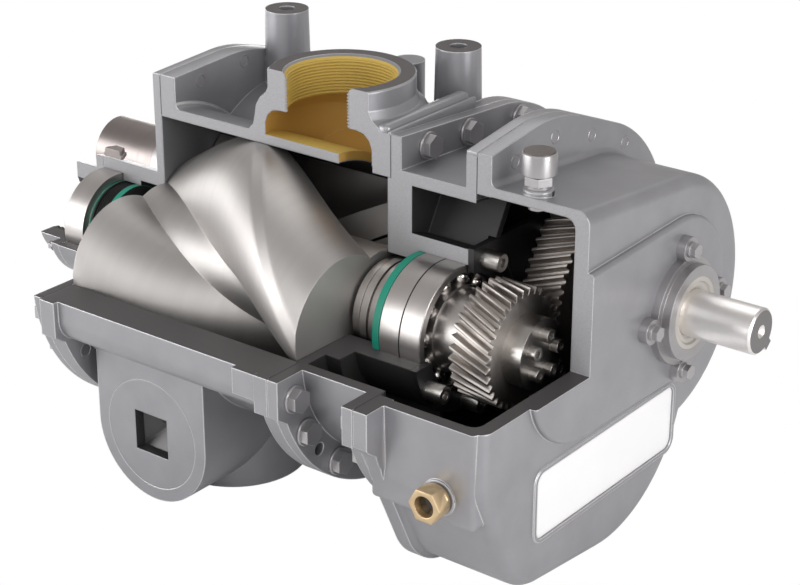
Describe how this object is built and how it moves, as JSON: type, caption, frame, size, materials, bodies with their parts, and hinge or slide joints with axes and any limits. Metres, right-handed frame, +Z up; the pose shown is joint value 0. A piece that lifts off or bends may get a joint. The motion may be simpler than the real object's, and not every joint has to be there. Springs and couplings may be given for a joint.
{
  "type": "screw blower",
  "caption": "Twin screw positive displacement blower, shown with one quarter of the castings cut away over the rotors and timing gears.",
  "frame": {"origin": "on the main rotor's axis, at the joint between the rotor casing and the end plate", "axes": "+X along the rotor axes towards the drive shaft, +Y from the main rotor to the gate rotor, +Z up through the inlet port"},
  "size_m": [0.6398, 0.387, 0.3295],
  "materials": {
    "casting": "cast grey",
    "machined_iron": "machined",
    "dark_plate": "black",
    "seal_cream": "matt",
    "brass": "machined",
    "dark_glass": "clear",
    "plate_white": "gloss",
    "gasket": "matt",
    "bolt_steel": "satin",
    "black_steel": "black oxide",
    "teal_seal": "satin",
    "bearing_steel": "ground",
    "rotor_steel": "brushed"
  },
  "bodies": {
    "casing": {"rotor_casing": "casting", "end_plate": "casting", "near_end_cap": "machined_iron", "far_end_cap": "machined_iron", "far_shaft_cover": "machined_iron", "drive_head": "casting", "bearing_retainer_plate": "dark_plate", "gear_cover": "casting", "seal_carrier": "machined_iron", "shaft_seal": "seal_cream", "discharge_plug": "machined_iron", "breather_body": "machined_iron", "breather_cap": "machined_iron", "sight_glass_body": "brass", "sight_glass_lens": "dark_glass", "nameplate": "plate_white", "end_gasket": "gasket", "head_gasket": "gasket", "cover_gasket": "gasket", "plate_bolts": "bolt_steel", "head_bolts": "bolt_steel", "cover_bolts": "bolt_steel", "retainer_screws": "black_steel", "seal_carrier_bolts": "bolt_steel", "end_cap_bolts": "bolt_steel", "main_end_seal": "teal_seal", "main_drive_seal": "teal_seal", "main_plate_bearing": "bearing_steel", "main_roller_bearing": "bearing_steel", "main_ball_bearing": "bearing_steel", "main_roller_cage": "brass", "main_ball_cage": "brass", "bearing_balls": "bearing_steel", "bearing_rollers": "bearing_steel", "gate_plate_bearing": "bearing_steel", "gate_roller_bearing": "bearing_steel", "gate_ball_bearing": "bearing_steel"},
    "main_rotor_set": {"main_rotor": "rotor_steel", "main_shaft": "rotor_steel", "main_gear": "rotor_steel", "main_clamp_disc": "rotor_steel", "main_clamp_screws": "black_steel", "main_spacer": "rotor_steel", "main_seal_collar": "rotor_steel", "main_bearing_inner_rings": "bearing_steel"},
    "gate_rotor_set": {"gate_bearing_inner_rings": "bearing_steel", "gate_rotor": "rotor_steel", "gate_shaft": "rotor_steel", "gate_gear": "rotor_steel", "gate_clamp_disc": "rotor_steel", "gate_clamp_screws": "black_steel", "gate_spacer": "rotor_steel", "gate_seal_collar": "rotor_steel", "drive_key": "rotor_steel"}
  },
  "joints": [
    {"name": "gate_spin", "type": "hinge", "parent": "casing", "child": "gate_rotor_set", "pos_m": [0.1, 0.127, 0], "axis": [1, 0, 0], "continuous": true},
    {"name": "main_spin", "type": "hinge", "parent": "casing", "child": "main_rotor_set", "pos_m": [0.1, 0, 0], "axis": [1, 0, 0], "continuous": true}
  ],
  "couplings": [
    {"joint": "main_spin", "follows": "gate_spin", "ratio": -2}
  ]
}
